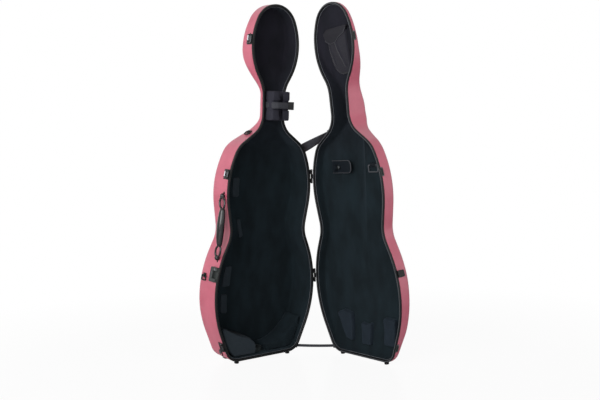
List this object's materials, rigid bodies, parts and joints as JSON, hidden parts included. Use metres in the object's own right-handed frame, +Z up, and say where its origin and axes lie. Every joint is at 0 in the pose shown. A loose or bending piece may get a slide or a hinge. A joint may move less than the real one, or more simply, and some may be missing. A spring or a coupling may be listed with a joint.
{
  "type": "cello case",
  "caption": "Rigid cello case standing open: a deep base and an arched lid joined by side hinges, with draw latches, a dial lock, a side handle and padded interior.",
  "frame": {"origin": "centre of the bounding box's footprint, on the floor that the feet stand on", "axes": "+Z up, along the case's length; the base opens toward -Y and the lid, open at 90 degrees, opens toward -X; both halves lean about 8 degrees toward the open side, as the case stands by itself"},
  "size_m": [0.5608, 0.6373, 1.3761],
  "materials": {
    "shell": "satin pink over a moulded shell",
    "velvet": "short black pile",
    "rim": "satin black",
    "piping": "light grey piping",
    "seal": "soft grey bead",
    "lock_case": "satin black coat",
    "dial_plastic": "moulded black",
    "handle_plastic": "moulded gloss black",
    "dark_metal": "black coated steel",
    "bright_metal": "plated steel",
    "webbing": "dark grey webbing",
    "foam_cover": "foam under cloth",
    "foot_rubber": "black rubber",
    "pouch_cloth": "black cloth"
  },
  "bodies": {
    "base": {"base_shell": "shell", "base_lining": "velvet", "base_rim": "rim", "base_piping": "piping", "lower_hinge_base_leaf": "dark_metal", "lower_hinge_pin": "dark_metal", "upper_hinge_base_leaf": "dark_metal", "upper_hinge_pin": "dark_metal", "bottom_latch_plate": "dark_metal", "upper_latch_plate": "dark_metal", "head_latch_plate": "dark_metal", "lock_body": "lock_case", "handle_mounts": "handle_plastic", "strap_lugs": "dark_metal", "stay_straps": "webbing", "stay_clamps_base": "dark_metal", "neck_pads": "velvet", "neck_strap": "webbing", "neck_buckle": "handle_plastic", "base_pads": "foam_cover", "end_pin_block": "foam_cover", "base_feet": "foot_rubber"},
    "lid": {"lid_shell": "shell", "lid_lining": "velvet", "lid_rim": "rim", "lid_piping": "piping", "lid_seal": "seal", "lower_hinge_lid_leaf": "dark_metal", "upper_hinge_lid_leaf": "dark_metal", "bottom_latch_catch": "dark_metal", "upper_latch_catch": "dark_metal", "head_latch_catch": "dark_metal", "hasp_plate": "dark_metal", "stay_clamps_lid": "dark_metal", "accessory_pouch": "pouch_cloth", "pouch_flap": "pouch_cloth", "lid_pads": "foam_cover", "bow_holder_plate": "handle_plastic", "bow_loop_lug": "dark_metal", "lid_feet": "foot_rubber"},
    "lock_button": {"lock_button": "bright_metal"},
    "hasp": {"hasp_arm": "dark_metal"},
    "handle": {"handle_grip": "handle_plastic"},
    "bow_knob": {"bow_holder_knob": "handle_plastic"},
    "bow_loop": {"bow_loop": "dark_metal"},
    "bottom_lever": {"bottom_latch_lever": "bright_metal"},
    "bottom_bail": {"bottom_latch_bail": "dark_metal"},
    "upper_lever": {"upper_latch_lever": "bright_metal"},
    "upper_bail": {"upper_latch_bail": "dark_metal"},
    "head_lever": {"head_latch_lever": "bright_metal"},
    "head_bail": {"head_latch_bail": "dark_metal"},
    "dial_1": {"dial_1": "dial_plastic"},
    "dial_2": {"dial_2": "dial_plastic"},
    "dial_3": {"dial_3": "dial_plastic"},
    "shoulder_outer_ring": {"shoulder_outer_ring": "dark_metal"},
    "shoulder_hinge_ring": {"shoulder_hinge_ring": "dark_metal"},
    "hip_outer_ring": {"hip_outer_ring": "dark_metal"},
    "hip_hinge_ring": {"hip_hinge_ring": "dark_metal"}
  },
  "joints": [
    {"name": "lid_hinge", "type": "hinge", "parent": "base", "child": "lid", "pos_m": [0.19249, 0.14615, 0.51076], "axis": [0.0997, 0.0997, -0.99], "range_deg": [0, 90], "deforming": ["stay_straps"]},
    {"name": "bottom_latch_turn", "type": "hinge", "parent": "base", "child": "bottom_lever", "pos_m": [-0.22623, 0.19817, 0.07084], "axis": [0.38, 0.0941, -0.9202], "range_deg": [0, 120]},
    {"name": "bottom_bail_turn", "type": "hinge", "parent": "bottom_lever", "child": "bottom_bail", "pos_m": [-0.23422, 0.19348, 0.06707], "axis": [-0.38, -0.0941, 0.9202], "range_deg": [0, 150]},
    {"name": "upper_latch_turn", "type": "hinge", "parent": "base", "child": "upper_lever", "pos_m": [-0.22958, 0.13163, 0.73493], "axis": [-0.1879, 0.097, -0.9774], "range_deg": [0, 120]},
    {"name": "upper_bail_turn", "type": "hinge", "parent": "upper_lever", "child": "upper_bail", "pos_m": [-0.23806, 0.12645, 0.73604], "axis": [0.1879, -0.097, 0.9774], "range_deg": [0, 150]},
    {"name": "head_latch_turn", "type": "hinge", "parent": "base", "child": "head_lever", "pos_m": [-0.1461, 0.08188, 1.23575], "axis": [-0.0758, 0.099, -0.9922], "range_deg": [0, 120]},
    {"name": "head_bail_turn", "type": "hinge", "parent": "head_lever", "child": "head_bail", "pos_m": [-0.15471, 0.0768, 1.2359], "axis": [0.0758, -0.099, 0.9922], "range_deg": [0, 150]},
    {"name": "dial_1_turn", "type": "hinge", "parent": "base", "child": "dial_1", "pos_m": [-0.27154, 0.19065, 0.35427], "axis": [0.2011, -0.0966, 0.9748], "continuous": true},
    {"name": "dial_2_turn", "type": "hinge", "parent": "base", "child": "dial_2", "pos_m": [-0.27003, 0.18993, 0.36158], "axis": [0.2011, -0.0966, 0.9748], "continuous": true},
    {"name": "dial_3_turn", "type": "hinge", "parent": "base", "child": "dial_3", "pos_m": [-0.26852, 0.18921, 0.36889], "axis": [0.2011, -0.0966, 0.9748], "continuous": true},
    {"name": "lock_button_press", "type": "slide", "parent": "base", "child": "lock_button", "axis": [0.2011, -0.0966, 0.9748], "range_m": [0, 0.002], "stiffness_N_per_m": 400},
    {"name": "hasp_swing", "type": "hinge", "parent": "lid", "child": "hasp", "pos_m": [0.21346, -0.31332, 0.35869], "axis": [0.0966, -0.2011, -0.9748], "range_deg": [0, 180]},
    {"name": "handle_swing", "type": "hinge", "parent": "base", "child": "handle", "pos_m": [-0.24744, 0.16936, 0.53794], "axis": [-0.0664, 0.0991, -0.9929], "range_deg": [0, 120]},
    {"name": "shoulder_outer_ring_swing", "type": "hinge", "parent": "base", "child": "shoulder_outer_ring", "pos_m": [-0.11726, 0.14415, 0.89649], "axis": [-0.005, 0.995, 0.0997], "range_deg": [0, 120]},
    {"name": "shoulder_hinge_ring_swing", "type": "hinge", "parent": "base", "child": "shoulder_hinge_ring", "pos_m": [0.0571, 0.14502, 0.89649], "axis": [0.005, -0.995, -0.0997], "range_deg": [0, 120]},
    {"name": "hip_outer_ring_swing", "type": "hinge", "parent": "base", "child": "hip_outer_ring", "pos_m": [-0.26869, 0.24815, 0.35227], "axis": [-0.005, 0.995, 0.0997], "range_deg": [0, 120]},
    {"name": "hip_hinge_ring_swing", "type": "hinge", "parent": "base", "child": "hip_hinge_ring", "pos_m": [0.20748, 0.25054, 0.35227], "axis": [0.005, -0.995, -0.0997], "range_deg": [0, 120]},
    {"name": "bow_knob_turn", "type": "hinge", "parent": "lid", "child": "bow_knob", "pos_m": [0.21229, 0.01847, 0.75216], "axis": [-0.995, 0.005, -0.0997], "range_deg": [0, 90]},
    {"name": "bow_loop_swing", "type": "hinge", "parent": "lid", "child": "bow_loop", "pos_m": [0.21025, -0.18952, 0.7591], "axis": [0.005, 1, 0], "range_deg": [0, 110]}
  ],
  "couplings": [
    {"joint": "bottom_bail_turn", "follows": "bottom_latch_turn", "ratio": 1.25},
    {"joint": "upper_bail_turn", "follows": "upper_latch_turn", "ratio": 1.25},
    {"joint": "head_bail_turn", "follows": "head_latch_turn", "ratio": 1.25}
  ]
}
